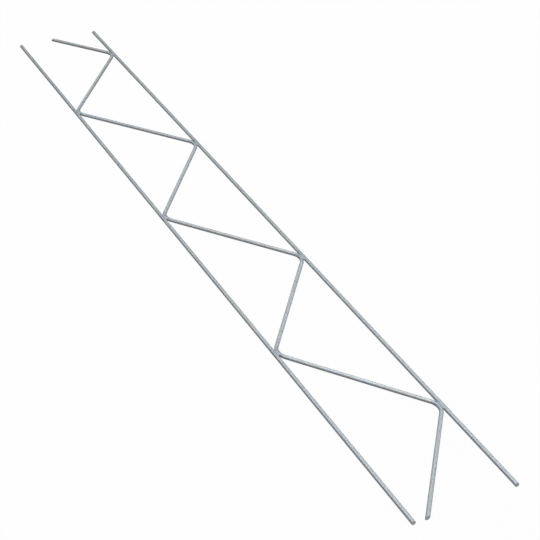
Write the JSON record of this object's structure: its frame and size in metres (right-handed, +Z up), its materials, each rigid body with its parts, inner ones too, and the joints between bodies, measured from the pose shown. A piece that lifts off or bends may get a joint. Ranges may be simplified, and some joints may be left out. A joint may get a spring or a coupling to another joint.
{
  "type": "truss-type masonry joint reinforcement",
  "caption": "Flat length of welded wire joint reinforcement: two straight side rods with one continuous diagonal wire bent to a zigzag and welded between them.",
  "frame": {"origin": "centre of the bounding box's bottom face, on the floor under the middle of the length", "axes": "+X towards the right side rod, across the piece; +Y along the side rods, towards the end where the first bend is 114 mm from the cut; +Z up"},
  "size_m": [0.1612, 1.51, 0.0062],
  "materials": {
    "galvanised_wire": "drawn steel wire with a pale blue-grey hot-dip zinc coat, satin, slightly mottled"
  },
  "bodies": {
    "root": {"left_side_rod": "galvanised_wire", "right_side_rod": "galvanised_wire", "truss_rod": "galvanised_wire"}
  },
  "joints": []
}
